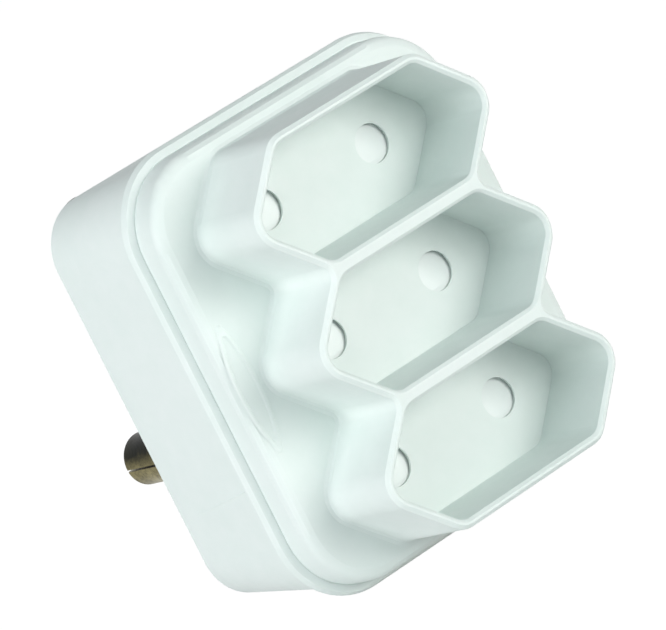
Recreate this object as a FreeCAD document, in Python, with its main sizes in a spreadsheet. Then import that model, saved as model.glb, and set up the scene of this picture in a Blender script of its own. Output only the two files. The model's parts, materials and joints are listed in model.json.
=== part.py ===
import FreeCAD, Part
import math
import os
import Sketcher

# Three-way multi socket adapter.
# Frame: the wall plane is Y = 0, the pins point along +Y into the wall, the sockets face -Y,
# the three sockets stand above each other along Z, and X runs along each socket.
# A "level" is a distance in front of the wall plane, so a level of 10 lies at Y = -10.

doc = FreeCAD.newDocument("adapter")
sizes = doc.addObject("Spreadsheet::Sheet", "sizes")

DRIVING_SIZES = (
    ("total_depth", 39.3, "wall plane to the rims of the socket shrouds"),
    ("socket_pitch", 18.05, "centre to centre of two sockets"),
    ("hole_spacing", 19.0, "centre to centre of the two holes of a socket"),
    ("hole_diameter", 5.2, "hole for one plug pin"),
    ("hole_wall", 0.35, "floor left in front of a shutter"),
    ("recess_depth", 12.4, "rim to the floor of a socket"),
    ("recess_height", 16.0, "across the flats of the six-sided recess"),
    ("recess_flat_half", 12.05, "half the length of a recess's flat side"),
    ("recess_tip_radius", 2.6, "rounding at the two pointed ends"),
    ("recess_corner_radius", 2.4, "rounding at the other four corners"),
    ("shroud_wall", 1.2, "wall round a recess"),
    ("shroud_height", 12.9, "shroud above the face of the cover"),
    ("shroud_notch_radius", 1.5, "rounding where two shrouds meet"),
    ("shroud_foot", 0.65, "hollow rounding where the shrouds meet the face"),
    ("rim_bevel", 0.5, "outer edge of the shroud rims"),
    ("mouth_bevel", 0.4, "inner edge of the shroud rims"),
    ("border_side", 5.5, "face beside the recess points"),
    ("border_end", 3.35, "face above and below the outer recesses"),
    ("face_corner_radius", 9.6, "corner of the raised face"),
    ("face_edge_radius", 1.45, "rounded edge of the raised face"),
    ("face_rise", 5.8, "joint with the housing to the face"),
    ("face_wall", 1.8, "least thickness of the face"),
    ("floor_wall", 2.3, "least depth behind the floor of a socket"),
    ("label_oval_half_length", 10.2, "raised line round a bare oval beside the middle shroud"),
    ("label_oval_half_width", 1.9, "across the oval"),
    ("label_oval_line", 0.75, "width of the raised line at its foot"),
    ("label_oval_height", 0.15, "height of the raised line"),
    ("label_oval_inset", 2.3, "middle of the oval from the side of the face"),
    ("flange_step", 1.3, "flange beyond the raised face"),
    ("flange_thickness", 1.45, "flange along the depth"),
    ("flange_bead", 1.1, "rounded front edge of the flange"),
    ("housing_setback", 1.25, "housing inside the flange"),
    ("housing_corner_radius", 8.8, "corner of the housing"),
    ("housing_draft", 4.6, "degrees that each side leans in towards the wall"),
    ("housing_edge_bevel", 0.5, "bevelled edge at the wall plane"),
    ("inside_corner_cut", 4.4, "slanted corner of the housing's inside"),
    ("grip_draft", 3.6, "degrees that the flat grip panel of each long side leans in"),
    ("grip_start_level", 1.5, "where the panel sinks into the side"),
    ("grip_start_half", 14.9, "half width of the panel where it starts"),
    ("grip_end_half", 11.7, "half width of the panel at the cover"),
    ("grip_overrun", 1.0, "cut beyond both ends of the panel"),
    ("housing_wall", 2.0, "side walls of housing and cover"),
    ("rear_wall", 2.6, "wall that carries the pins"),
    ("live_pin_diameter", 7.0, "line and neutral pins"),
    ("live_pin_length", 18.6, "line and neutral pins beyond the wall plane"),
    ("live_pin_spacing", 25.4, "line pin to neutral pin"),
    ("live_pin_drop", 8.8, "line and neutral pins below the centre"),
    ("earth_pin_diameter", 8.7, "earth pin"),
    ("earth_pin_length", 26.0, "earth pin beyond the wall plane"),
    ("earth_pin_offset", 28.6, "earth pin above the line and neutral pins"),
    ("pin_tip_bevel", 0.35, "bevelled tip of each pin"),
    ("pin_hole_clearance", 0.02, "pin to its hole in the rear wall, per side"),
    ("pin_shoulder_rim", 0.4, "thicker root of a pin inside the wall, per side"),
    ("pin_slit_width", 0.3, "slit that makes a live pin springy"),
    ("pin_slit_depth", 15.0, "slit from the tip"),
    ("pin_slit_turn", 4.0, "degrees from the X axis to the slit"),
    ("pin_collar_rim", 1.5, "collar beyond the pin, per side"),
    ("pin_collar_thickness", 1.8, "collar inside the rear wall"),
    ("pin_boss_rim", 2.5, "boss beyond the pin, per side"),
    ("pin_boss_height", 1.6, "boss on the inside of the rear wall"),
    ("pin_neck_width", 3.2, "square neck of a live pin through its busbar"),
    ("pin_neck_proud", 0.5, "staked neck in front of the busbar"),
    ("busbar_width", 6.4, "stamped strip"),
    ("busbar_thickness", 1.0, "stamped strip"),
    ("busbar_end", 3.6, "strip beyond the outer contacts"),
    ("busbar_lug_half", 4.2, "half the side of the lug round a pin"),
    ("fit_gap", 0.05, "gap per side of pins and tabs in sheet metal"),
    ("busbar_seat_thickness", 2.0, "rib under the busbar, along Z"),
    ("clip_thickness", 0.5, "spring sheet"),
    ("clip_width", 5.0, "contact clip along X"),
    ("clip_outside", 6.0, "contact clip across its base"),
    ("clip_end_gap", 1.0, "mouth of a clip to the plate in front of it"),
    ("clip_bend_share", 0.42, "first bend as a share of a clip's reach"),
    ("clip_throat_share", 0.73, "throat as a share of a clip's reach"),
    ("clip_throat", 3.4, "gap at the throat"),
    ("clip_mouth", 6.4, "gap at the mouth"),
    ("tab_width", 2.4, "staked tab of a clip along X"),
    ("tab_height", 1.6, "staked tab of a clip along Z"),
    ("tab_proud", 0.4, "staked tab behind the busbar"),
    ("shutter_end", 0.5, "shutter bar beyond each hole along X"),
    ("shutter_cover", 0.3, "shutter beyond the hole's edge"),
    ("shutter_gap", 0.1, "gap per side of the shutter in its channel"),
    ("shutter_thickness", 3.5, "shutter bar along the depth"),
    ("shutter_ramp", 0.45, "depth of the ramp that a plug pin pushes"),
    ("shutter_land", 0.9, "flat strip below the ramp"),
    ("spring_diameter", 2.8, "outside of a shutter spring"),
    ("spring_wire", 0.4, "wire of a shutter spring"),
    ("spring_turns", 4.5, "turns of a shutter spring"),
    ("spring_room", 0.4, "room per side round a spring"),
    ("spring_slot_height", 4.1, "slot for the spring in the shutter"),
    ("spring_seat_drop", 9.35, "socket centre down to the spring's fixed end"),
    ("spring_rib_thickness", 1.4, "rib that holds the spring's fixed end"),
    ("spring_rib_overlap", 0.8, "rib beyond the spring's channel, per side"),
    ("retainer_thickness", 1.4, "plate behind the shutters"),
    ("retainer_gap", 0.2, "plate to the cover's walls"),
    ("retainer_window", 6.2, "plate's square window for a plug pin"),
    ("pillar_width", 8.0, "square pillar over the earth pin"),
    ("barrier_thickness", 1.6, "wall between line and neutral"),
    ("screw_aside", 4.4, "screw from the end of the shutters along X"),
    ("screw_inset_end", 7.4, "screw from the end of the raised face"),
    ("screw_diameter", 2.6, "screw shank"),
    ("screw_gap", 0.04, "screw to its pilot hole, per side"),
    ("screw_clearance", 0.25, "screw to its hole in the housing, per side"),
    ("screw_bite", 8.0, "screw in the cover's boss"),
    ("screw_end_room", 1.0, "pilot hole beyond the screw's end"),
    ("screw_head_diameter", 5.2, "cheese head"),
    ("screw_head_height", 1.8, "cheese head"),
    ("screw_cross_width", 0.8, "arm of the cross recess"),
    ("screw_cross_length", 3.0, "cross recess"),
    ("screw_cross_depth", 1.0, "cross recess"),
    ("screw_well_diameter", 6.0, "well that hides a screw head"),
    ("screw_well_depth", 4.6, "well that hides a screw head"),
    ("screw_post_width", 8.2, "housing's square post round a screw"),
    ("screw_post_level", 10.0, "where the post meets the cover's boss"),
    ("boss_diameter", 6.0, "cover's screw boss"),
    ("shoulder_width", 8.4, "square shoulder of the boss that carries the retainer"),
)
for row, (alias, value, meaning) in enumerate(DRIVING_SIZES, start=1):
    sizes.set(f"A{row}", alias)
    sizes.set(f"B{row}", str(value))
    sizes.setAlias(f"B{row}", alias)
    sizes.set(f"C{row}", meaning)
doc.recompute()

# Levels and half sizes that follow from the driving sizes.
RIM_LEVEL = "sizes.total_depth"
FACE_LEVEL = "(sizes.total_depth - sizes.shroud_height)"
FLOOR_LEVEL = "(sizes.total_depth - sizes.recess_depth)"
PARTING_LEVEL = f"({FACE_LEVEL} - sizes.face_rise)"
BEVEL_LEVEL = "(sizes.total_depth - sizes.rim_bevel)"
BEAD_LEVEL = f"({PARTING_LEVEL} + sizes.flange_thickness - sizes.flange_bead)"
CAVITY_LEVEL = f"min({FACE_LEVEL} - sizes.face_wall; {FLOOR_LEVEL} - sizes.floor_wall)"
CHANNEL_LEVEL = f"({FLOOR_LEVEL} - sizes.hole_wall)"
SHUTTER_FRONT = f"({CHANNEL_LEVEL} - sizes.shutter_gap)"
SHUTTER_BACK = f"({SHUTTER_FRONT} - sizes.shutter_thickness)"
RETAINER_FRONT = f"({SHUTTER_BACK} - sizes.shutter_gap)"
RETAINER_BACK = f"({RETAINER_FRONT} - sizes.retainer_thickness)"
BOSS_LEVEL = "(sizes.rear_wall + sizes.pin_boss_height)"
BUSBAR_BACK = f"({BOSS_LEVEL} + sizes.pin_collar_thickness)"
BUSBAR_FRONT = f"({BUSBAR_BACK} + sizes.busbar_thickness)"
CLIP_BASE_FRONT = f"({BUSBAR_FRONT} + sizes.clip_thickness)"
CLIP_REACH = f"({RETAINER_BACK} - {BUSBAR_FRONT} - sizes.clip_end_gap)"
EARTH_FRONT = BUSBAR_BACK
RECESS_HALF_HIGH = "(sizes.recess_height / 2)"
RECESS_HALF_LONG = f"(sizes.recess_flat_half + {RECESS_HALF_HIGH})"
FACE_HALF_WIDE = f"({RECESS_HALF_LONG} + sizes.border_side)"
FACE_HALF_TALL = f"(sizes.socket_pitch + {RECESS_HALF_HIGH} + sizes.border_end)"
FLANGE_HALF_WIDE = f"({FACE_HALF_WIDE} + sizes.flange_step)"
FLANGE_HALF_TALL = f"({FACE_HALF_TALL} + sizes.flange_step)"
HOUSING_HALF_WIDE = f"({FLANGE_HALF_WIDE} - sizes.housing_setback)"
HOUSING_HALF_TALL = f"({FLANGE_HALF_TALL} - sizes.housing_setback)"
CAVITY_HALF_WIDE = f"({FACE_HALF_WIDE} - sizes.housing_wall)"
CAVITY_HALF_TALL = f"({FACE_HALF_TALL} - sizes.housing_wall)"
CAVITY_RADIUS = "(sizes.face_corner_radius - sizes.housing_wall)"
HOUSING_LEAN = f"({PARTING_LEVEL} * tan(sizes.housing_draft))"
HOLE_X = "(sizes.hole_spacing / 2)"
LIVE_X = "(sizes.live_pin_spacing / 2)"
LIVE_Z = "(-sizes.live_pin_drop)"
EARTH_Z = "(sizes.earth_pin_offset - sizes.live_pin_drop)"
SEAT_END_Z = "(sizes.socket_pitch + sizes.busbar_end - sizes.busbar_seat_thickness / 2)"
SHUTTER_HALF_LONG = f"({HOLE_X} + sizes.hole_diameter / 2 + sizes.shutter_end)"
SCREW_X = f"({SHUTTER_HALF_LONG} + sizes.screw_aside)"
SCREW_Z = f"({FACE_HALF_TALL} - sizes.screw_inset_end)"
SHUTTER_HALF_HIGH = "(sizes.hole_diameter / 2 + sizes.shutter_cover)"
SHUTTER_TRAVEL = "(sizes.hole_diameter + sizes.shutter_cover + sizes.shutter_gap)"
SPRING_LEVEL = f"({SHUTTER_FRONT} - sizes.shutter_thickness / 2)"
SPRING_TOP = f"(sizes.spring_slot_height - {SHUTTER_HALF_HIGH})"
SPRING_RADIUS = "(sizes.spring_diameter / 2)"
SPRING_HALF_ROOM = f"({SPRING_RADIUS} + sizes.spring_room)"

SOCKETS = (("upper", "1"), ("middle", "0"), ("lower", "(-1)"))
SIDES = (("line", "(-1)"), ("neutral", "1"))
RIM_SLOPE = -45
BEAD_STEPS = 2
FACE_EDGE_STEPS = 3
FOOT_STEPS = 2
OVAL_SHOULDER = 0.4
OVAL_SLOPE = -60
SPRING_STEPS_PER_TURN = 8


def number(expression):
    return float(sizes.evalExpression(expression))


def new_body(label):
    body = doc.addObject("PartDesign::Body", label)
    body.Label = label
    return body


def place(body, x="0", z="0"):
    body.setExpression("Placement.Base.x", x)
    body.setExpression("Placement.Base.z", z)


def origin_item(body, role):
    return [item for item in body.Origin.OriginFeatures if item.Role == role][0]


def new_sketch(body, name, offset="0", plane="XZ_Plane"):
    """A sketch on an origin plane; on the XZ plane the offset is a level."""
    sketch = body.newObject("Sketcher::SketchObject", name)
    sketch.AttachmentSupport = [(origin_item(body, plane), "")]
    sketch.MapMode = "FlatFace"
    sketch.setExpression("AttachmentOffset.Base.z", offset)
    return sketch


def hold(sketch, geometry, point, x, y):
    """Binds a point of the sketch to two expressions."""
    for kind, expression in (("DistanceX", x), ("DistanceY", y)):
        rule = Sketcher.Constraint(kind, -1, 1, geometry, point, number(expression))
        index = sketch.addConstraint(rule)
        sketch.setExpression(f"Constraints[{index}]", expression)


def polygon(sketch, corners, radii=None):
    """A closed outline through corners (x, y), each rounded by its radius if it has one."""
    first = sketch.GeometryCount
    points = [FreeCAD.Vector(number(x), number(y), 0) for x, y in corners]
    count = len(points)
    for i in range(count):
        sketch.addGeometry(Part.LineSegment(points[i], points[(i + 1) % count]), False)
    for i in range(count):
        rule = Sketcher.Constraint("Coincident", first + i, 2, first + (i + 1) % count, 1)
        sketch.addConstraint(rule)
    for i, (x, y) in enumerate(corners):
        hold(sketch, first + i, 1, x, y)
    for i, radius in enumerate(radii or ()):
        if radius is None:
            continue
        sketch.fillet(first + i, 1, number(radius), True, True)
        arc = [n for n, g in enumerate(sketch.Geometry) if g.TypeId == "Part::GeomArcOfCircle"][-1]
        index = sketch.addConstraint(Sketcher.Constraint("Radius", arc, number(radius)))
        sketch.setExpression(f"Constraints[{index}]", radius)


def rectangle(sketch, half_wide, half_tall, radius=None, x="0", y="0"):
    corners = [
        (f"{x} - {half_wide}", f"{y} - {half_tall}"),
        (f"{x} + {half_wide}", f"{y} - {half_tall}"),
        (f"{x} + {half_wide}", f"{y} + {half_tall}"),
        (f"{x} - {half_wide}", f"{y} + {half_tall}"),
    ]
    polygon(sketch, corners, [radius] * len(corners))


def circle(sketch, diameter, x="0", y="0"):
    centre = FreeCAD.Vector(number(x), number(y), 0)
    axis = FreeCAD.Vector(0, 0, 1)
    index = sketch.addGeometry(Part.Circle(centre, axis, number(diameter) / 2), False)
    rule = sketch.addConstraint(Sketcher.Constraint("Diameter", index, number(diameter)))
    sketch.setExpression(f"Constraints[{rule}]", diameter)
    hold(sketch, index, 3, x, y)


def pad(body, name, sketch, length, backward=False, midplane=False):
    feature = body.newObject("PartDesign::Pad", name)
    feature.Profile = sketch
    feature.setExpression("Length", length)
    feature.Reversed = backward
    if midplane:
        feature.SideType = "Symmetric"
    return feature


def pocket(body, name, sketch, length, forward=False, midplane=False):
    """Cuts from the sketch towards the wall, or away from it when forward."""
    feature = body.newObject("PartDesign::Pocket", name)
    feature.Profile = sketch
    feature.setExpression("Length", length)
    feature.Reversed = forward
    if midplane:
        feature.SideType = "Symmetric"
    return feature


def bevel(body, name, amount, test):
    """Bevels the edges of the newest feature that pass the test."""
    doc.recompute()
    base = body.Tip
    names = [f"Edge{i}" for i, edge in enumerate(base.Shape.Edges, start=1) if test(edge)]
    feature = body.newObject("PartDesign::Chamfer", name)
    feature.Base = (base, names)
    feature.setExpression("Size", amount)


def rounded_rim(body, name, outline, level, radius, steps):
    """A rounded edge as a stack of slanted pads that starts at the level."""
    wide, tall, corner = outline
    for i in range(steps):
        start = 90 * i / steps
        end = 90 * (i + 1) / steps
        inset = f"({radius} * (1 - cos({start})))"
        sketch = new_sketch(body, f"{name}_outline_{i + 1}", f"{level} + {radius} * sin({start})")
        rectangle(sketch, f"({wide} - {inset})", f"({tall} - {inset})", f"{corner} - {inset}")
        slice_pad = pad(body, f"{name}_{i + 1}", sketch, f"{radius} * (sin({end}) - sin({start}))")
        slice_pad.TaperAngle = -(start + end) / 2


def at_level(edge, level, tolerance=0.01):
    box = edge.BoundBox
    return abs(box.YMin + level) < tolerance and abs(box.YMax + level) < tolerance


def hexagon(sketch, grow, z):
    """The six-sided socket outline, grown outward by a wall."""
    flat = f"(sizes.recess_flat_half + {grow} * (sqrt(2) - 1))"
    point = f"({RECESS_HALF_LONG} + {grow} * sqrt(2))"
    high = f"({RECESS_HALF_HIGH} + {grow})"
    corners = [
        (f"-{flat}", f"{z} - {high}"),
        (flat, f"{z} - {high}"),
        (point, z),
        (flat, f"{z} + {high}"),
        (f"-{flat}", f"{z} + {high}"),
        (f"-{point}", z),
    ]
    corner = f"sizes.recess_corner_radius + {grow}"
    tip = f"sizes.recess_tip_radius + {grow}"
    polygon(sketch, corners, [corner, corner, tip, corner, corner, tip])


def shroud_block(sketch, grow="0"):
    """The joint outline of all three shrouds, grown outward."""
    wall = f"(sizes.shroud_wall + ({grow}))"
    flat = f"(sizes.recess_flat_half + {wall} * (sqrt(2) - 1))"
    point = f"({RECESS_HALF_LONG} + {wall} * sqrt(2))"
    high = f"({RECESS_HALF_HIGH} + {wall})"
    meet = f"({flat} + {high} - sizes.socket_pitch / 2)"
    corner = f"sizes.recess_corner_radius + {wall}"
    tip = f"sizes.recess_tip_radius + {wall}"
    notch = f"sizes.shroud_notch_radius - ({grow})"
    side = []
    for _, step in reversed(SOCKETS):
        side.append((point, socket_z(step), tip))
        side.append((meet, f"({socket_z(step)} + sizes.socket_pitch / 2)", notch))
    side.pop()
    end = f"(sizes.socket_pitch + {high})"
    around = [(f"(-{flat})", f"(-{end})", corner), (flat, f"(-{end})", corner)] + side
    around += [(flat, end, corner), (f"(-{flat})", end, corner)]
    around += [(f"(-{x})", z, radius) for x, z, radius in reversed(side)]
    polygon(sketch, [(x, z) for x, z, _ in around], [radius for _, _, radius in around])


def long_oval(sketch, wide, long, x):
    """A slender six-sided outline, rounded so far that it is nearly an oval."""
    shoulder = f"({OVAL_SHOULDER} * {long})"
    side = f"0.9 * {shoulder} / tan(atan({wide} / ({long} - {shoulder})) / 2)"
    tip = f"0.3 * {wide}"
    corners = [
        (x, f"(-{long})"),
        (f"{x} + {wide}", f"(-{shoulder})"),
        (f"{x} + {wide}", shoulder),
        (x, long),
        (f"{x} - {wide}", shoulder),
        (f"{x} - {wide}", f"(-{shoulder})"),
    ]
    polygon(sketch, corners, [tip, side, side, tip, side, side])


def socket_z(step):
    return f"({step} * sizes.socket_pitch)"


def hole_places():
    return [(f"{side} * {HOLE_X}", socket_z(step)) for _, side in SIDES for _, step in SOCKETS]


def screw_places():
    """Two screws on one diagonal."""
    return [(f"{side} * {SCREW_X}", f"(-1) * {side} * {SCREW_Z}") for _, side in SIDES]


# Front cover: flange, raised face, three shrouds and what carries the inner pieces.
def make_front_cover():
    body = new_body("front_cover")

    radius = "(sizes.face_corner_radius + sizes.flange_step)"
    sketch = new_sketch(body, "flange_outline", PARTING_LEVEL)
    rectangle(sketch, FLANGE_HALF_WIDE, FLANGE_HALF_TALL, radius)
    pad(body, "flange", sketch, "sizes.flange_thickness - sizes.flange_bead")
    flange = (FLANGE_HALF_WIDE, FLANGE_HALF_TALL, radius)
    rounded_rim(body, "bead", flange, BEAD_LEVEL, "sizes.flange_bead", BEAD_STEPS)

    sketch = new_sketch(body, "face_outline", PARTING_LEVEL)
    rectangle(sketch, FACE_HALF_WIDE, FACE_HALF_TALL, "sizes.face_corner_radius")
    edge = "sizes.face_edge_radius"
    pad(body, "raised_face", sketch, f"{FACE_LEVEL} - {edge} - {PARTING_LEVEL}")
    face = (FACE_HALF_WIDE, FACE_HALF_TALL, "sizes.face_corner_radius")
    rounded_rim(body, "face_edge", face, f"({FACE_LEVEL} - {edge})", edge, FACE_EDGE_STEPS)

    sketch = new_sketch(body, "shroud_outline", CAVITY_LEVEL)
    shroud_block(sketch)
    pad(body, "shrouds", sketch, f"{BEVEL_LEVEL} - {CAVITY_LEVEL}")
    for i in range(FOOT_STEPS):
        start = 90 * i / FOOT_STEPS
        end = 90 * (i + 1) / FOOT_STEPS
        rise = f"sizes.shroud_foot * (1 - cos({start}))"
        sketch = new_sketch(body, f"foot_outline_{i + 1}", f"{FACE_LEVEL} + {rise}")
        shroud_block(sketch, f"sizes.shroud_foot * (1 - sin({start}))")
        foot = pad(body, f"foot_{i + 1}", sketch, f"sizes.shroud_foot * (cos({start}) - cos({end}))")
        foot.TaperAngle = (start + end) / 2 - 90
    sketch = new_sketch(body, "rim_outline", BEVEL_LEVEL)
    shroud_block(sketch)
    rim = pad(body, "rim", sketch, "sizes.rim_bevel")
    rim.TaperAngle = RIM_SLOPE
    middle = f"(sizes.label_oval_inset - {FACE_HALF_WIDE})"
    wide = "sizes.label_oval_half_width"
    long = "sizes.label_oval_half_length"
    high = "sizes.label_oval_height"
    sketch = new_sketch(body, "label_oval_outline", FACE_LEVEL)
    long_oval(sketch, wide, long, middle)
    oval = pad(body, "label_oval", sketch, high)
    oval.TaperAngle = OVAL_SLOPE
    inset = f"(sizes.label_oval_line + {high} * tan({OVAL_SLOPE}))"
    slant = f"sqrt(1 + (({long} - {OVAL_SHOULDER} * {long}) / {wide})^2)"
    sketch = new_sketch(body, "label_field_outline", f"{FACE_LEVEL} + {high}")
    long_oval(sketch, f"({wide} - {inset})", f"({long} - {inset} * {slant})", middle)
    field = pocket(body, "label_field", sketch, high)
    field.TaperAngle = OVAL_SLOPE

    for name, step in SOCKETS:
        sketch = new_sketch(body, f"recess_outline_{name}", RIM_LEVEL)
        hexagon(sketch, "0", socket_z(step))
        pocket(body, f"recess_{name}", sketch, "sizes.recess_depth")
    for name, step in SOCKETS:
        sketch = new_sketch(body, f"mouth_outline_{name}", RIM_LEVEL)
        hexagon(sketch, "sizes.mouth_bevel", socket_z(step))
        mouth = pocket(body, f"mouth_{name}", sketch, "sizes.mouth_bevel")
        mouth.TaperAngle = RIM_SLOPE

    sketch = new_sketch(body, "cavity_outline", PARTING_LEVEL)
    rectangle(sketch, CAVITY_HALF_WIDE, CAVITY_HALF_TALL, CAVITY_RADIUS)
    pocket(body, "cavity", sketch, f"{CAVITY_LEVEL} - {PARTING_LEVEL}", forward=True)

    sketch = new_sketch(body, "spring_ribs_outline", CAVITY_LEVEL)
    for _, step in SOCKETS:
        middle = f"({socket_z(step)} - sizes.spring_seat_drop - sizes.spring_rib_thickness / 2)"
        wide = f"({SPRING_HALF_ROOM} + sizes.spring_rib_overlap)"
        rectangle(sketch, wide, "(sizes.spring_rib_thickness / 2)", None, "0", middle)
    pad(body, "spring_ribs", sketch, f"{CAVITY_LEVEL} - {SHUTTER_BACK}", backward=True)

    sketch = new_sketch(body, "shoulder_outline", CAVITY_LEVEL)
    for x, z in screw_places():
        rectangle(sketch, "(sizes.shoulder_width / 2)", "(sizes.shoulder_width / 2)", None, x, z)
    pad(body, "retainer_shoulders", sketch, f"{CAVITY_LEVEL} - {RETAINER_FRONT}", backward=True)

    sketch = new_sketch(body, "boss_outline", CAVITY_LEVEL)
    for x, z in screw_places():
        circle(sketch, "sizes.boss_diameter", x, z)
    pad(body, "screw_bosses", sketch, f"{CAVITY_LEVEL} - sizes.screw_post_level", backward=True)

    sketch = new_sketch(body, "pilot_outline", "sizes.screw_post_level")
    for x, z in screw_places():
        circle(sketch, "sizes.screw_diameter + 2 * sizes.screw_gap", x, z)
    pocket(body, "pilot_holes", sketch, "sizes.screw_bite + sizes.screw_end_room", forward=True)

    channel_depth = f"{CHANNEL_LEVEL} - {CAVITY_LEVEL}"
    sketch = new_sketch(body, "channel_outline", CAVITY_LEVEL)
    for _, step in SOCKETS:
        top = f"({SHUTTER_HALF_HIGH} + sizes.shutter_gap)"
        bottom = f"({SHUTTER_HALF_HIGH} + {SHUTTER_TRAVEL} + sizes.shutter_gap)"
        middle = f"({socket_z(step)} + ({top} - {bottom}) / 2)"
        half = f"(({top} + {bottom}) / 2)"
        rectangle(sketch, f"({SHUTTER_HALF_LONG} + sizes.shutter_gap)", half, None, "0", middle)
    pocket(body, "shutter_channels", sketch, channel_depth, forward=True)

    sketch = new_sketch(body, "spring_channel_outline", CAVITY_LEVEL)
    for _, step in SOCKETS:
        middle = f"({socket_z(step)} - sizes.spring_seat_drop / 2)"
        rectangle(sketch, SPRING_HALF_ROOM, "(sizes.spring_seat_drop / 2)", None, "0", middle)
    pocket(body, "spring_channels", sketch, channel_depth, forward=True)

    sketch = new_sketch(body, "hole_outline", FLOOR_LEVEL)
    for x, z in hole_places():
        circle(sketch, "sizes.hole_diameter", x, z)
    pocket(body, "plug_holes", sketch, "sizes.hole_wall")
    return body


# Rear housing: drafted box with the pin bosses, contact posts, barrier and screw posts.
def make_rear_housing():
    body = new_body("rear_housing")
    sketch = new_sketch(body, "housing_outline", PARTING_LEVEL)
    rectangle(sketch, HOUSING_HALF_WIDE, HOUSING_HALF_TALL, "sizes.housing_corner_radius")
    shell = pad(body, "housing_box", sketch, PARTING_LEVEL, backward=True)
    shell.setExpression("TaperAngle", "-sizes.housing_draft")
    bevel(body, "housing_edge", "sizes.housing_edge_bevel", lambda edge: at_level(edge, 0.0))

    start = "sizes.grip_start_level * (tan(sizes.housing_draft) - tan(sizes.grip_draft))"
    plane = f"{HOUSING_HALF_WIDE} - {HOUSING_LEAN} + {start}"
    sketch = new_sketch(body, "grip_outline", plane, "YZ_Plane")
    sketch.AttachmentOffset = FreeCAD.Placement(
        sketch.AttachmentOffset.Base, FreeCAD.Rotation(FreeCAD.Vector(0, 1, 0), 0)
    )
    sketch.setExpression("AttachmentOffset.Rotation.Angle", "sizes.grip_draft")
    near = "(sizes.grip_overrun - sizes.grip_start_level)"
    far = f"(-({PARTING_LEVEL} + sizes.grip_overrun))"
    polygon(sketch, [
        (far, "-sizes.grip_end_half"),
        (near, "-sizes.grip_start_half"),
        (near, "sizes.grip_start_half"),
        (far, "sizes.grip_end_half"),
    ])
    grip = pocket(body, "grip_panel", sketch, "sizes.housing_wall", forward=True)
    mirrored = body.newObject("PartDesign::Mirrored", "both_grip_panels")
    mirrored.Originals = [grip]
    mirrored.MirrorPlane = (origin_item(body, "YZ_Plane"), [""])
    body.Tip = mirrored

    sketch = new_sketch(body, "inside_outline", PARTING_LEVEL)
    wide = f"({HOUSING_HALF_WIDE} - sizes.housing_wall)"
    tall = f"({HOUSING_HALF_TALL} - sizes.housing_wall)"
    cut = "sizes.inside_corner_cut"
    polygon(sketch, [
        (f"{cut} - {wide}", f"(-{tall})"),
        (f"{wide} - {cut}", f"(-{tall})"),
        (wide, f"{cut} - {tall}"),
        (wide, f"{tall} - {cut}"),
        (f"{wide} - {cut}", tall),
        (f"{cut} - {wide}", tall),
        (f"(-{wide})", f"{tall} - {cut}"),
        (f"(-{wide})", f"{cut} - {tall}"),
    ])
    inside = pocket(body, "inside", sketch, f"{PARTING_LEVEL} - sizes.rear_wall")
    inside.setExpression("TaperAngle", "-sizes.housing_draft")

    live = "(sizes.live_pin_diameter / 2 + sizes.pin_boss_rim)"
    earth = "(sizes.earth_pin_diameter / 2 + sizes.pin_boss_rim)"
    sketch = new_sketch(body, "pin_boss_outline", "sizes.rear_wall")
    for _, side in SIDES:
        rectangle(sketch, live, live, None, f"{side} * {LIVE_X}", LIVE_Z)
    rectangle(sketch, earth, earth, None, "0", EARTH_Z)
    pad(body, "pin_bosses", sketch, "sizes.pin_boss_height")

    sketch = new_sketch(body, "busbar_seat_outline", "sizes.rear_wall")
    for _, side in SIDES:
        for z in (f"(-1) * {SEAT_END_Z}", "(sizes.socket_pitch / 2)", SEAT_END_Z):
            wide = "(sizes.busbar_width / 2)"
            rectangle(sketch, wide, "(sizes.busbar_seat_thickness / 2)", None, f"{side} * {HOLE_X}", z)
    pad(body, "busbar_seats", sketch, f"{BUSBAR_BACK} - sizes.rear_wall")

    sketch = new_sketch(body, "screw_post_outline", "sizes.rear_wall")
    for x, z in screw_places():
        rectangle(sketch, "(sizes.screw_post_width / 2)", "(sizes.screw_post_width / 2)", None, x, z)
    pad(body, "screw_posts", sketch, "sizes.screw_post_level - sizes.rear_wall")

    sketch = new_sketch(body, "barrier_outline", "sizes.rear_wall")
    top = f"({EARTH_Z} - sizes.earth_pin_diameter / 2 - sizes.pin_boss_rim)"
    bottom = f"({HOUSING_HALF_TALL} - 2 * sizes.housing_wall)"
    middle = f"(({top} - {bottom}) / 2)"
    half = f"(({top} + {bottom}) / 2)"
    rectangle(sketch, "(sizes.barrier_thickness / 2)", half, None, "0", middle)
    pad(body, "barrier", sketch, f"{RETAINER_BACK} - sizes.rear_wall")

    sketch = new_sketch(body, "pin_hole_outline", BOSS_LEVEL)
    root = "2 * (sizes.pin_shoulder_rim + sizes.pin_hole_clearance)"
    for _, side in SIDES:
        circle(sketch, f"sizes.live_pin_diameter + {root}", f"{side} * {LIVE_X}", LIVE_Z)
    circle(sketch, f"sizes.earth_pin_diameter + {root}", "0", EARTH_Z)
    pocket(body, "pin_holes", sketch, BOSS_LEVEL)

    sketch = new_sketch(body, "screw_hole_outline", "sizes.screw_post_level")
    for x, z in screw_places():
        circle(sketch, "sizes.screw_diameter + 2 * sizes.screw_clearance", x, z)
    pocket(body, "screw_holes", sketch, "sizes.screw_post_level")

    sketch = new_sketch(body, "screw_well_outline", "sizes.screw_well_depth")
    for x, z in screw_places():
        circle(sketch, "sizes.screw_well_diameter", x, z)
    pocket(body, "screw_wells", sketch, "sizes.screw_well_depth")
    return body


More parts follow.
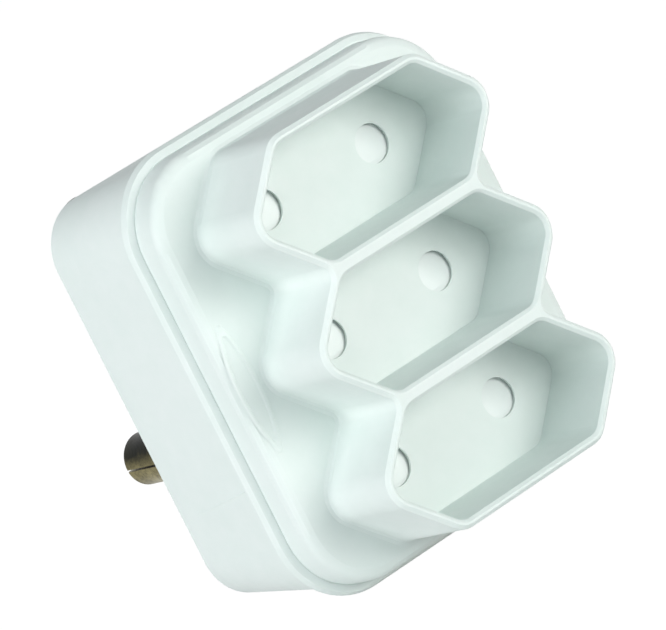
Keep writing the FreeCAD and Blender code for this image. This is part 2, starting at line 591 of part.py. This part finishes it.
def revolved(body, name, profile, radii=None):
    """A turned piece about its own Y axis; the profile is a list of (radius, level)."""
    sketch = new_sketch(body, f"{name}_profile", "0", "XY_Plane")
    polygon(sketch, [(radius, f"-{level}") for radius, level in profile], radii)
    feature = body.newObject("PartDesign::Revolution", name)
    feature.Profile = sketch
    feature.ReferenceAxis = (sketch, ["V_Axis"])
    feature.Angle = 360
    return feature


# The shank of a pin with its bevelled tip, and the square collar that holds it in the housing.
def pin_shank(body, diameter, length):
    shank = f"({diameter} / 2)"
    root = f"({shank} + sizes.pin_shoulder_rim)"
    tip = f"(-{length})"
    profile = [
        ("0", tip),
        (f"({shank} - sizes.pin_tip_bevel)", tip),
        (shank, f"({tip} + sizes.pin_tip_bevel)"),
        (shank, "0"),
        (root, "0"),
        (root, BUSBAR_BACK),
        ("0", BUSBAR_BACK),
    ]
    revolved(body, "shank", profile)
    sketch = new_sketch(body, "collar_outline", BOSS_LEVEL)
    rectangle(sketch, f"({shank} + sizes.pin_collar_rim)", f"({shank} + sizes.pin_collar_rim)")
    pad(body, "collar", sketch, "sizes.pin_collar_thickness")


# Line and neutral pins: split brass pins with a square neck staked over the busbar.
def make_live_pin(name, side):
    body = new_body(f"{name}_pin")
    pin_shank(body, "sizes.live_pin_diameter", "sizes.live_pin_length")
    sketch = new_sketch(body, "slit_outline", "(-sizes.live_pin_length)")
    long = "(sizes.live_pin_diameter / 2)"
    half = "(sizes.pin_slit_width / 2)"
    turn = "sizes.pin_slit_turn"
    corners = []
    for end, edge in (("1", "1"), ("(-1)", "1"), ("(-1)", "(-1)"), ("1", "(-1)")):
        x = f"({end} * {long} * cos({turn}) - {edge} * {half} * sin({turn}))"
        y = f"({end} * {long} * sin({turn}) + {edge} * {half} * cos({turn}))"
        corners.append((x, y))
    polygon(sketch, corners)
    pocket(body, "slit", sketch, "sizes.pin_slit_depth", forward=True)
    sketch = new_sketch(body, "neck_outline", BUSBAR_BACK)
    rectangle(sketch, "(sizes.pin_neck_width / 2)", "(sizes.pin_neck_width / 2)")
    pad(body, "neck", sketch, "sizes.busbar_thickness + sizes.pin_neck_proud")
    place(body, f"{side} * {LIVE_X}", LIVE_Z)
    return body


# Earth pin: solid brass, held down by the retainer's pillar.
def make_earth_pin():
    body = new_body("earth_pin")
    pin_shank(body, "sizes.earth_pin_diameter", "sizes.earth_pin_length")
    place(body, "0", EARTH_Z)
    return body


# Busbars: a stamped strip under three contacts, with a lug round its pin.
def make_busbar(name, side):
    body = new_body(f"{name}_busbar")
    sketch = new_sketch(body, "strip_outline", BUSBAR_BACK)
    tall = "(sizes.socket_pitch + sizes.busbar_end)"
    rectangle(sketch, "(sizes.busbar_width / 2)", tall, None, f"{side} * {HOLE_X}")
    pad(body, "strip", sketch, "sizes.busbar_thickness")
    sketch = new_sketch(body, "lug_outline", BUSBAR_BACK)
    rectangle(sketch, "sizes.busbar_lug_half", "sizes.busbar_lug_half", None, f"{side} * {LIVE_X}", LIVE_Z)
    pad(body, "lug", sketch, "sizes.busbar_thickness")
    sketch = new_sketch(body, "busbar_hole_outline", BUSBAR_FRONT)
    neck = "(sizes.pin_neck_width / 2 + sizes.fit_gap)"
    rectangle(sketch, neck, neck, None, f"{side} * {LIVE_X}", LIVE_Z)
    for _, step in SOCKETS:
        wide = "(sizes.tab_width / 2 + sizes.fit_gap)"
        tall = "(sizes.tab_height / 2 + sizes.fit_gap)"
        rectangle(sketch, wide, tall, None, f"{side} * {HOLE_X}", socket_z(step))
    pocket(body, "busbar_holes", sketch, "sizes.busbar_thickness")
    return body


# Contact clip: a bent spring strip with two leaves that grip a plug pin, staked to its busbar.
def make_contact_clip(name, side, socket, step):
    body = new_body(f"contact_clip_{name}_{socket}")
    sketch = new_sketch(body, "leaf_profile", "0", "YZ_Plane")
    outer = "(sizes.clip_outside / 2)"
    sheet = "sizes.clip_thickness"
    throat = f"(sizes.clip_throat / 2 + {sheet})"
    mouth = f"(sizes.clip_mouth / 2 + {sheet})"
    leaf = [
        (BUSBAR_FRONT, outer),
        (f"({BUSBAR_FRONT} + sizes.clip_bend_share * {CLIP_REACH})", outer),
        (f"({BUSBAR_FRONT} + sizes.clip_throat_share * {CLIP_REACH})", throat),
        (f"({BUSBAR_FRONT} + {CLIP_REACH})", mouth),
    ]
    outside = [(f"-{level}", z) for level, z in leaf]
    inside = [(f"-{level}", f"({z} - {sheet})") for level, z in reversed(leaf[1:])]
    inside.append((f"-{CLIP_BASE_FRONT}", f"({outer} - {sheet})"))
    upper = outside + inside
    lower = [(level, f"(-{z})") for level, z in reversed(upper)]
    polygon(sketch, upper + lower)
    pad(body, "leaves", sketch, "sizes.clip_width", midplane=True)
    sketch = new_sketch(body, "tab_outline", CLIP_BASE_FRONT)
    rectangle(sketch, "(sizes.tab_width / 2)", "(sizes.tab_height / 2)")
    pad(body, "tab", sketch, f"{CLIP_BASE_FRONT} - {BUSBAR_BACK} + sizes.tab_proud", backward=True)
    place(body, f"{side} * {HOLE_X}", socket_z(step))
    return body


# Shutter: a wedge bar that covers both holes and is pushed down by a plug's two pins.
def make_shutter(socket, step):
    body = new_body(f"shutter_{socket}")
    sketch = new_sketch(body, "wedge_profile", "0", "YZ_Plane")
    high = SHUTTER_HALF_HIGH
    corners = [
        (f"-{SHUTTER_BACK}", f"(-{high})"),
        (f"-{SHUTTER_FRONT}", f"(-{high})"),
        (f"-{SHUTTER_FRONT}", f"(sizes.shutter_land - {high})"),
        (f"-({SHUTTER_FRONT} - sizes.shutter_ramp)", high),
        (f"-{SHUTTER_BACK}", high),
    ]
    polygon(sketch, corners)
    pad(body, "wedge", sketch, f"2 * {SHUTTER_HALF_LONG}", midplane=True)
    sketch = new_sketch(body, "spring_slot_outline", SHUTTER_FRONT)
    middle = f"(sizes.spring_slot_height / 2 - {high})"
    rectangle(sketch, SPRING_HALF_ROOM, "(sizes.spring_slot_height / 2)", None, "0", middle)
    pocket(body, "spring_slot", sketch, "sizes.shutter_thickness")
    place(body, "0", socket_z(step))
    return body


# Shutter spring: a coil between the slot's end in the shutter and the rib of the cover.
def make_shutter_spring(socket, step):
    piece = doc.addObject("Part::Feature", f"shutter_spring_{socket}")
    piece.Label = f"shutter_spring_{socket}"
    wire = number("sizes.spring_wire")
    radius = number(SPRING_RADIUS) - wire / 2
    foot = wire / 2 - number("sizes.spring_seat_drop - sizes.fit_gap")
    height = number(f"{SPRING_TOP} + sizes.spring_seat_drop - 2 * sizes.fit_gap") - wire
    steps = round(number("sizes.spring_turns") * SPRING_STEPS_PER_TURN)
    points = []
    for i in range(steps + 1):
        angle = 2 * math.pi * i / SPRING_STEPS_PER_TURN
        rise = foot + height * i / steps
        points.append(FreeCAD.Vector(radius * math.cos(angle), radius * math.sin(angle), rise))
    along = (points[1] - points[0]).normalize()
    out = FreeCAD.Vector(1, 0, 0)
    up = along.cross(out).normalize()
    out = up.cross(along).normalize()
    half = wire / 2
    ring = [points[0] + out * half * a + up * half * b for a, b in ((1, 1), (-1, 1), (-1, -1), (1, -1))]
    section = Part.makePolygon(ring + ring[:1])
    piece.Shape = Part.Wire(Part.makePolygon(points)).makePipeShell([section], True, False, 1)
    piece.setExpression("Placement.Base.y", f"-{SPRING_LEVEL}")
    place(piece, "0", socket_z(step))
    return piece


# Shutter retainer: a plate behind the shutters, with a pillar that holds the earth pin down.
def make_retainer():
    body = new_body("shutter_retainer")
    sketch = new_sketch(body, "plate_outline", RETAINER_BACK)
    wide = f"({CAVITY_HALF_WIDE} - sizes.retainer_gap)"
    tall = f"({CAVITY_HALF_TALL} - sizes.retainer_gap)"
    rectangle(sketch, wide, tall, f"{CAVITY_RADIUS} - sizes.retainer_gap")
    pad(body, "plate", sketch, "sizes.retainer_thickness")
    sketch = new_sketch(body, "pillar_outline", RETAINER_BACK)
    rectangle(sketch, "(sizes.pillar_width / 2)", "(sizes.pillar_width / 2)", None, "0", EARTH_Z)
    pad(body, "pillar", sketch, f"{RETAINER_BACK} - {EARTH_FRONT}", backward=True)
    window = "(sizes.retainer_window / 2)"
    notch = "(sizes.boss_diameter / 2 + sizes.retainer_gap)"
    sketch = new_sketch(body, "plate_hole_outline", RETAINER_FRONT)
    for x, z in hole_places():
        rectangle(sketch, window, window, None, x, z)
    for x, z in screw_places():
        rectangle(sketch, notch, notch, None, x, z)
    pocket(body, "plate_holes", sketch, "sizes.retainer_thickness")
    return body


# Cover screw: cheese head with a cross recess, hidden in its well.
def make_screw(index, x, z):
    body = new_body(f"cover_screw_{index}")
    shank = "(sizes.screw_diameter / 2)"
    head = "(sizes.screw_head_diameter / 2)"
    seat = "sizes.screw_well_depth"
    head_back = f"({seat} - sizes.screw_head_height)"
    point = "(sizes.screw_post_level + sizes.screw_bite)"
    profile = [
        ("0", head_back),
        (head, head_back),
        (head, seat),
        (shank, seat),
        (shank, point),
        ("0", point),
    ]
    revolved(body, "turned", profile)
    for name, wide, tall in (("cross_bar", "length", "width"), ("cross_post", "width", "length")):
        sketch = new_sketch(body, f"{name}_outline", head_back)
        rectangle(sketch, f"(sizes.screw_cross_{wide} / 2)", f"(sizes.screw_cross_{tall} / 2)")
        pocket(body, name, sketch, "sizes.screw_cross_depth", forward=True)
    place(body, x, z)
    return body


pieces = [make_front_cover(), make_rear_housing(), make_earth_pin(), make_retainer()]
for name, side in SIDES:
    pieces.append(make_live_pin(name, side))
    pieces.append(make_busbar(name, side))
    for socket, step in SOCKETS:
        pieces.append(make_contact_clip(name, side, socket, step))
for socket, step in SOCKETS:
    pieces.append(make_shutter(socket, step))
    pieces.append(make_shutter_spring(socket, step))
for index, (x, z) in enumerate(screw_places(), start=1):
    pieces.append(make_screw(index, x, z))

doc.recompute()
for item in doc.Objects:
    if "Invalid" in item.State or "Error" in item.State:
        raise RuntimeError(f"{item.Label} did not compute: {item.State}")
os.makedirs("parts", exist_ok=True)
for piece in pieces:
    shape = piece.Shape
    if shape.isNull() or not shape.isValid() or len(shape.Solids) != 1:
        raise RuntimeError(f"{piece.Label} is not one valid solid")
    shape.exportStep(os.path.join("parts", f"{piece.Label}.step"))
    print(f"{piece.Label:32s} volume {shape.Volume:9.1f}")
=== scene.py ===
import json
import math

import bmesh
import bpy
from mathutils import Matrix, Vector


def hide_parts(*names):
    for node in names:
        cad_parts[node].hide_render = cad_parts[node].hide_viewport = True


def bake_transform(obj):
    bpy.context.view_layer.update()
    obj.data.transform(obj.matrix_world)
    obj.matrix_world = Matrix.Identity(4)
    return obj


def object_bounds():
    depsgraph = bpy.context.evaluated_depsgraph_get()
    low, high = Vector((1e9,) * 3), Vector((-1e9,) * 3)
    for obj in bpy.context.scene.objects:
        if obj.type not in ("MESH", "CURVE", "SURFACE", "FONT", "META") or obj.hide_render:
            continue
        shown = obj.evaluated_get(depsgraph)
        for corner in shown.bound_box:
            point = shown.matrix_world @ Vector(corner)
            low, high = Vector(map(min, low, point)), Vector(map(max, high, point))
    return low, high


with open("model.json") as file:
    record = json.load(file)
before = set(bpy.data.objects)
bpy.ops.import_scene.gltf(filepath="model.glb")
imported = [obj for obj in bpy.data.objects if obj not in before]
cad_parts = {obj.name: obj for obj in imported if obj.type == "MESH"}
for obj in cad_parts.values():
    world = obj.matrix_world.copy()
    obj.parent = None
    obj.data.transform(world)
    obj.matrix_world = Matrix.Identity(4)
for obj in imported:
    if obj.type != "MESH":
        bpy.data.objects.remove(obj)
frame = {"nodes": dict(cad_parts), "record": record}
cad_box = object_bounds()
nodes = frame["nodes"]
scene = bpy.context.scene
MM = 0.001
SOCKETS = ("upper", "middle", "lower")


# Camera: in front of the sockets, to the left and a little above, rolled against the adapter.
IMAGE_WIDTH = 666.0
FOCAL_LENGTH = 6631.3
SENSOR_WIDTH = 36.0
CAMERA_RIGHT = Vector((0.698507, -0.562556, -0.442288))
CAMERA_DOWN = Vector((-0.446209, 0.140798, -0.883784))
CAMERA_FORWARD = Vector((0.559451, 0.814682, -0.152671))
CAMERA_DISTANCE = 850.07
CAMERA_OFFSET_RIGHT = 8.920
CAMERA_OFFSET_UP = 2.474
CLIP_START = 0.01
CLIP_END = 50.0


def make_camera():
    """The focal length is given in pixels of the image, and the offsets in millimetres."""
    aside = CAMERA_RIGHT * CAMERA_OFFSET_RIGHT - CAMERA_DOWN * CAMERA_OFFSET_UP
    place = (aside - CAMERA_FORWARD * CAMERA_DISTANCE) * MM
    data = bpy.data.cameras.new("camera")
    data.sensor_fit = "HORIZONTAL"
    data.sensor_width = SENSOR_WIDTH
    data.lens = FOCAL_LENGTH * SENSOR_WIDTH / IMAGE_WIDTH
    data.clip_start = CLIP_START
    data.clip_end = CLIP_END
    camera = bpy.data.objects.new("camera", data)
    scene.collection.objects.link(camera)
    turn = Matrix((CAMERA_RIGHT, -CAMERA_DOWN, -CAMERA_FORWARD)).transposed().to_4x4()
    camera.matrix_world = Matrix.Translation(place) @ turn
    scene.camera = camera


# Node trees
class Nodes:
    """Short calls for building a node tree."""

    def __init__(self, tree):
        self.tree = tree
        tree.nodes.clear()

    def add(self, kind, **values):
        node = self.tree.nodes.new(kind)
        for key, value in values.items():
            setattr(node, key, value)
        return node

    def join(self, out, into):
        self.tree.links.new(out, into)

    def noise(self, vector, scale, detail, roughness):
        node = self.add("ShaderNodeTexNoise")
        node.inputs["Scale"].default_value = scale
        node.inputs["Detail"].default_value = detail
        node.inputs["Roughness"].default_value = roughness
        self.join(vector, node.inputs["Vector"])
        return node.outputs["Fac"]

    def spread(self, value, low, high, out_low, out_high):
        """Maps low..high to out_low..out_high, and holds the ends."""
        node = self.add("ShaderNodeMapRange")
        node.inputs["From Min"].default_value = low
        node.inputs["From Max"].default_value = high
        node.inputs["To Min"].default_value = out_low
        node.inputs["To Max"].default_value = out_high
        self.join(value, node.inputs["Value"])
        return node.outputs["Result"]

    def blend(self, factor, first, second):
        """Mixes two colours, each a tuple or an output."""
        node = self.add("ShaderNodeMix", data_type="RGBA")
        for name, colour in (("A", first), ("B", second)):
            socket = [s for s in node.inputs if s.name == name and s.type == "RGBA"][0]
            if isinstance(colour, tuple):
                socket.default_value = (*colour, 1.0)
            else:
                self.join(colour, socket)
        socket = [s for s in node.inputs if s.name == "Factor" and s.type == "VALUE"][0]
        self.join(factor, socket)
        return [s for s in node.outputs if s.type == "RGBA"][0]

    def math(self, kind, first, second):
        """Works with two values, each a number or an output."""
        node = self.add("ShaderNodeMath", operation=kind)
        for socket, value in zip(node.inputs, (first, second)):
            if isinstance(value, float):
                socket.default_value = value
            else:
                self.join(value, socket)
        return node.outputs[0]

    def bump(self, height, distance, strength, below=None):
        node = self.add("ShaderNodeBump")
        node.inputs["Distance"].default_value = distance
        node.inputs["Strength"].default_value = strength
        self.join(height, node.inputs["Height"])
        if below is not None:
            self.join(below, node.inputs["Normal"])
        return node.outputs["Normal"]

    def principled(self):
        """Adds the surface's shader, and gives it with the point on the object."""
        out = self.add("ShaderNodeOutputMaterial")
        shader = self.add("ShaderNodeBsdfPrincipled")
        self.join(shader.outputs[0], out.inputs["Surface"])
        return shader, self.add("ShaderNodeTexCoord").outputs["Object"]

    def seen(self):
        """1 where the background is looked at, also in a reflection, and 0 where it only lights."""
        path = self.add("ShaderNodeLightPath").outputs
        direct = self.math("MAXIMUM", path["Is Camera Ray"], path["Is Glossy Ray"])
        return self.math("MAXIMUM", direct, path["Is Transmission Ray"])


def new_material(name):
    material = bpy.data.materials.new(name)
    material.use_nodes = True
    return material, Nodes(material.node_tree)


def linear(red, green, blue):
    """A colour written 0 to 255, as a shader takes it."""
    def one(value):
        value /= 255.0
        return value / 12.92 if value <= 0.04045 else ((value + 0.055) / 1.055) ** 2.4

    return one(red), one(green), one(blue)


# Noises: features per metre, detail, roughness; and the part of a noise's range that is used
FLOW_NOISE = (55.0, 3.0, 0.55)
CLOUD_NOISE = (420.0, 4.0, 0.6)
PATCH_NOISE = (240.0, 6.0, 0.68)
SPECK_NOISE = (2600.0, 3.0, 0.6)
GRAIN_DETAIL = (3.0, 0.6)
PLASTIC_TONE_RANGE = (0.35, 0.65)
METAL_TONE_RANGE = (0.3, 0.72)
SPECK_RANGE = (0.45, 0.75)
GLOSS_RANGE = (0.3, 0.7)

# Plastic: flow marks and grain, how far the roughness varies, and how far light sinks in
FLOW_SHARE = 0.65
CLOUD_SHARE = 0.35
FLOW_HEIGHT = 0.12 * MM
FLOW_STRENGTH = 0.35
GRAIN_STRENGTH = 0.5
PLASTIC_SHINIER = 0.05
PLASTIC_DULLER = 0.06
PLASTIC_IOR = 1.5
SINK_WEIGHT = 0.2
SINK_DEPTH = 0.6 * MM
SINK_SPREAD = (1.0, 1.0, 1.0)


def plastic(name, base, shade, roughness, grain_height, grain_size):
    """Injection-moulded plastic: fine eroded grain, soft flow marks, light that sinks in."""
    material, n = new_material(name)
    shader, where = n.principled()
    flow = n.noise(where, *FLOW_NOISE)
    cloud = n.noise(where, *CLOUD_NOISE)
    mix = n.math(
        "ADD", n.math("MULTIPLY", flow, FLOW_SHARE), n.math("MULTIPLY", cloud, CLOUD_SHARE)
    )
    shaded = n.spread(mix, *PLASTIC_TONE_RANGE, 0.0, 1.0)
    tone = n.blend(shaded, linear(*base), linear(*shade))
    n.join(tone, shader.inputs["Base Color"])
    ends = (roughness - PLASTIC_SHINIER, roughness + PLASTIC_DULLER)
    n.join(n.spread(cloud, *GLOSS_RANGE, *ends), shader.inputs["Roughness"])
    grain = n.noise(where, 1.0 / (grain_size * MM), *GRAIN_DETAIL)
    wave = n.bump(flow, FLOW_HEIGHT, FLOW_STRENGTH)
    n.join(n.bump(grain, grain_height * MM, GRAIN_STRENGTH, wave), shader.inputs["Normal"])
    shader.inputs["IOR"].default_value = PLASTIC_IOR
    shader.inputs["Subsurface Weight"].default_value = SINK_WEIGHT
    shader.inputs["Subsurface Radius"].default_value = SINK_SPREAD
    shader.inputs["Subsurface Scale"].default_value = SINK_DEPTH
    return material


# Metal: how far the roughness varies, tool rings, specks, and spots of painted shade on the pins
METAL_SHINIER = 0.08
METAL_DULLER = 0.12
RING_DISTORTION = 0.6
RING_DETAIL = 2.0
RING_HEIGHT = 0.01 * MM
RING_STRENGTH = 0.5
SPECK_HEIGHT = 0.02 * MM
SPECK_STRENGTH = 0.35
SPECK_COLOUR = (0.02, 0.017, 0.01)
# Painted shade: these darken the tops of the pins, standing in for shade and dark reflection.
PAINTED_SHADE_COLOUR = linear(10, 14, 10)
PAINTED_SHADE_SHARE = 0.96
PAINTED_SHADE_NEAR = 4.7 * MM
PAINTED_SHADE_FAR = 7.0 * MM
PAINTED_SHADE_RAGGED = 4.0 * MM
PIN_PAINTED_SHADE = (
    (-14.6 * MM, 12.6 * MM, -4.9 * MM),
    (-14.6 * MM, 17.0 * MM, -4.7 * MM),
    (13.6 * MM, 5.0 * MM, -5.5 * MM),
    (1.5 * MM, 24.0 * MM, 23.6 * MM),
)


def metal(name, base, shade, roughness, rings_per_metre, speckled=0.0, painted_shade=()):
    """Turned or drawn metal: fine rings about the Y axis, worn tone, specks and dark spots of
    painted shade.
    """
    material, n = new_material(name)
    shader, where = n.principled()
    patch = n.noise(where, *PATCH_NOISE)
    speck = n.noise(where, *SPECK_NOISE)
    worn = n.spread(patch, *METAL_TONE_RANGE, 0.0, 1.0)
    tone = n.blend(worn, linear(*base), linear(*shade))
    if speckled:
        tone = n.blend(n.spread(speck, *SPECK_RANGE, 0.0, speckled), tone, SPECK_COLOUR)
    # Painted shade: each spot darkens the colour near it to a dark brown, with ragged edges from
    # the patch noise.
    for shade_spot in painted_shade:
        away = n.add("ShaderNodeVectorMath", operation="DISTANCE")
        n.join(where, away.inputs[0])
        away.inputs[1].default_value = shade_spot
        ragged = n.math("ADD", away.outputs["Value"], n.math("MULTIPLY", patch, PAINTED_SHADE_RAGGED))
        shade_mask = n.spread(ragged, PAINTED_SHADE_NEAR, PAINTED_SHADE_FAR, PAINTED_SHADE_SHARE, 0.0)
        tone = n.blend(shade_mask, tone, PAINTED_SHADE_COLOUR)
    n.join(tone, shader.inputs["Base Color"])
    shader.inputs["Metallic"].default_value = 1.0
    ends = (roughness - METAL_SHINIER, roughness + METAL_DULLER)
    n.join(n.spread(patch, *GLOSS_RANGE, *ends), shader.inputs["Roughness"])
    rings = n.add("ShaderNodeTexWave", wave_type="BANDS", bands_direction="Y")
    rings.inputs["Scale"].default_value = rings_per_metre
    rings.inputs["Distortion"].default_value = RING_DISTORTION
    rings.inputs["Detail"].default_value = RING_DETAIL
    n.join(where, rings.inputs["Vector"])
    turned = n.bump(rings.outputs["Fac"], RING_HEIGHT, RING_STRENGTH)
    n.join(n.bump(speck, SPECK_HEIGHT, SPECK_STRENGTH, turned), shader.inputs["Normal"])
    return material


# Slot: base, shade, roughness, height and size of the grain in millimetres
PLASTICS = {
    "white_shell": ((228, 236, 233), (223, 233, 229), 0.5, 0.012, 0.22),
    "white_shutter": ((231, 238, 236), (228, 235, 233), 0.36, 0.006, 0.3),
    "white_plate": ((218, 224, 222), (211, 218, 216), 0.5, 0.014, 0.3),
}
# Slot: base, shade, roughness, rings per metre, share of specks, places of painted shade
METALS = {
    "pin_brass": ((152, 143, 100), (98, 92, 62), 0.34, 900.0, 0.6, PIN_PAINTED_SHADE),
    "contact_brass": ((206, 178, 112), (184, 152, 88), 0.3, 300.0),
    "spring_steel": ((176, 178, 182), (150, 152, 158), 0.28, 1200.0),
    "screw_steel": ((186, 187, 190), (160, 160, 160), 0.34, 1500.0, 0.2),
}
materials = {slot: plastic(slot, *looks) for slot, looks in PLASTICS.items()}
materials.update({slot: metal(slot, *looks) for slot, looks in METALS.items()})


def paint_nodes():
    slot_of = {entry["node"]: entry["material_slot"] for entry in frame["record"]["subparts"]}
    for name, node in nodes.items():
        node.data.materials.clear()
        node.data.materials.append(materials[slot_of[name]])


# Softened edges of the two mouldings
WELD_GAP = 0.002 * MM
EDGE_WIDTH = 0.2 * MM
EDGE_ANGLE = math.radians(32.0)
EDGE_SEGMENTS = 3


def soften(name):
    """Joins the mesh's split corners and rounds its sharp edges a little, as moulding does."""
    node = nodes[name]
    weld = node.modifiers.new("weld", "WELD")
    weld.merge_threshold = WELD_GAP
    bevel = node.modifiers.new("bevel", "BEVEL")
    bevel.width = EDGE_WIDTH
    bevel.segments = EDGE_SEGMENTS
    bevel.limit_method = "ANGLE"
    bevel.angle_limit = EDGE_ANGLE
    bevel.harden_normals = True
    flat = node.modifiers.new("flat", "WEIGHTED_NORMAL")
    flat.keep_sharp = True


# Shutter springs
SPRING_WIRE = 0.4 * MM
SPRING_TURNS = 4.5
SPRING_END_TURNS = 0.9
SPRING_END_PITCH = 1.1 * SPRING_WIRE
STEPS_PER_TURN = 20
WIRE_CORNERS = 10


def spring_rise(turn, height):
    """Height of the wire's middle; the first and last turn lie close, as on a ground spring."""
    closed = SPRING_END_TURNS * SPRING_END_PITCH
    if turn < SPRING_END_TURNS:
        return closed * turn / SPRING_END_TURNS
    if turn > SPRING_TURNS - SPRING_END_TURNS:
        return height - closed * (SPRING_TURNS - turn) / SPRING_END_TURNS
    share = (turn - SPRING_END_TURNS) / (SPRING_TURNS - 2.0 * SPRING_END_TURNS)
    return closed + share * (height - 2.0 * closed)


def make_spring(place):
    """A round-wire coil, built once in the plain spring's box; it does not shorten with its
    shutter.
    """
    plain = nodes[f"shutter_spring_{place}"]
    corners = [plain.matrix_world @ Vector(corner) for corner in plain.bound_box]
    low = Vector(min(corner[i] for corner in corners) for i in range(3))
    high = Vector(max(corner[i] for corner in corners) for i in range(3))
    middle = (low + high) / 2.0
    radius = (high.x - low.x - SPRING_WIRE) / 2.0
    foot = low.z + SPRING_WIRE / 2.0
    height = high.z - low.z - SPRING_WIRE
    shape = bmesh.new()
    rings = []
    for i in range(round(SPRING_TURNS * STEPS_PER_TURN) + 1):
        turn = i / STEPS_PER_TURN
        out = Vector((math.cos(turn * math.tau), math.sin(turn * math.tau), 0.0))
        level = foot + spring_rise(turn, height)
        centre = Vector((middle.x, middle.y, level)) + out * radius
        ring = []
        for k in range(WIRE_CORNERS):
            angle = k * math.tau / WIRE_CORNERS
            side = out * math.cos(angle) + Vector((0.0, 0.0, math.sin(angle)))
            ring.append(shape.verts.new(centre + side * SPRING_WIRE / 2.0))
        rings.append(ring)
    for first, second in zip(rings, rings[1:]):
        for k in range(WIRE_CORNERS):
            after = (k + 1) % WIRE_CORNERS
            face = shape.faces.new((first[k], first[after], second[after], second[k]))
            face.smooth = True
    shape.faces.new(rings[0])
    shape.faces.new(rings[-1])
    bmesh.ops.recalc_face_normals(shape, faces=shape.faces[:])
    mesh = bpy.data.meshes.new(f"spring_coil_{place}")
    shape.to_mesh(mesh)
    shape.free()
    mesh.materials.append(materials["spring_steel"])
    coil = bpy.data.objects.new(f"spring_coil_{place}", mesh)
    scene.collection.objects.link(coil)
    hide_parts(f"shutter_spring_{place}")
    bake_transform(coil)


# World and floor: white where they are looked at, weaker where they light the object
AMBIENT = 0.23
AMBIENT_TINT = (0.88, 0.97, 1.0)
WHITE = (1.0, 1.0, 1.0)
FLOOR_HALF_WIDTH = 6.0
FLOOR_GAP = 0.1 * MM
FLOOR_GLOW = 0.97
FLOOR_SHADOWED = (0.14, 0.14, 0.14, 1.0)
FLOOR_PAPER = (0.82, 0.82, 0.82, 1.0)


def make_world():
    world = bpy.data.worlds.new("studio")
    scene.world = world
    world.use_nodes = True
    n = Nodes(world.node_tree)
    out = n.add("ShaderNodeOutputWorld")
    seen = n.seen()
    back = n.add("ShaderNodeBackground")
    n.join(n.blend(seen, AMBIENT_TINT, WHITE), back.inputs["Color"])
    n.join(n.spread(seen, 0.0, 1.0, AMBIENT, 1.0), back.inputs["Strength"])
    n.join(back.outputs[0], out.inputs["Surface"])


def floor_paper():
    """Seen, it glows white and keeps a faint shadow; to the object it is plain pale paper."""
    material, n = new_material("floor_paper")
    out = n.add("ShaderNodeOutputMaterial")
    glow = n.add("ShaderNodeEmission")
    glow.inputs["Strength"].default_value = FLOOR_GLOW
    shadowed = n.add("ShaderNodeBsdfDiffuse")
    shadowed.inputs["Color"].default_value = FLOOR_SHADOWED
    both = n.add("ShaderNodeAddShader")
    n.join(glow.outputs[0], both.inputs[0])
    n.join(shadowed.outputs[0], both.inputs[1])
    paper = n.add("ShaderNodeBsdfDiffuse")
    paper.inputs["Color"].default_value = FLOOR_PAPER
    pick = n.add("ShaderNodeMixShader")
    n.join(n.seen(), pick.inputs[0])
    n.join(paper.outputs[0], pick.inputs[1])
    n.join(both.outputs[0], pick.inputs[2])
    n.join(pick.outputs[0], out.inputs["Surface"])
    return material


def make_floor():
    mesh = bpy.data.meshes.new("floor")
    shape = bmesh.new()
    bmesh.ops.create_grid(shape, x_segments=1, y_segments=1, size=FLOOR_HALF_WIDTH)
    shape.to_mesh(mesh)
    shape.free()
    floor = bpy.data.objects.new("floor", mesh)
    floor.location.z = cad_box[0][2] - FLOOR_GAP
    scene.collection.objects.link(floor)
    mesh.materials.append(floor_paper())


# Lamps: name, place, diameter, power, colour
LAMP_TARGET = Vector((0.0, -0.02, 0.0))
LAMPS = (
    ("front", (0.308, -0.866, 0.0), 0.7, 9.6, (1.0, 0.985, 0.96)),
    ("left", (-0.9, -0.02, 0.0), 0.7, 9.0, (1.0, 0.985, 0.995)),
    ("upper_left", (-0.521, -0.541, 0.516), 0.6, 1.7, (0.86, 0.96, 1.0)),
)


def make_lamp(name, place, size, power, colour):
    data = bpy.data.lights.new(name, "AREA")
    data.shape = "DISK"
    data.size = size
    data.energy = power
    data.color = colour
    lamp = bpy.data.objects.new(name, data)
    lamp.location = place
    aim = LAMP_TARGET - Vector(place)
    lamp.rotation_euler = aim.to_track_quat("-Z", "Y").to_euler()
    scene.collection.objects.link(lamp)


make_camera()
make_world()
make_floor()
for lamp in LAMPS:
    make_lamp(*lamp)
paint_nodes()
for moulding in ("front_cover", "rear_housing"):
    soften(moulding)
for place in SOCKETS:
    make_spring(place)

scene.view_settings.view_transform = "Standard"
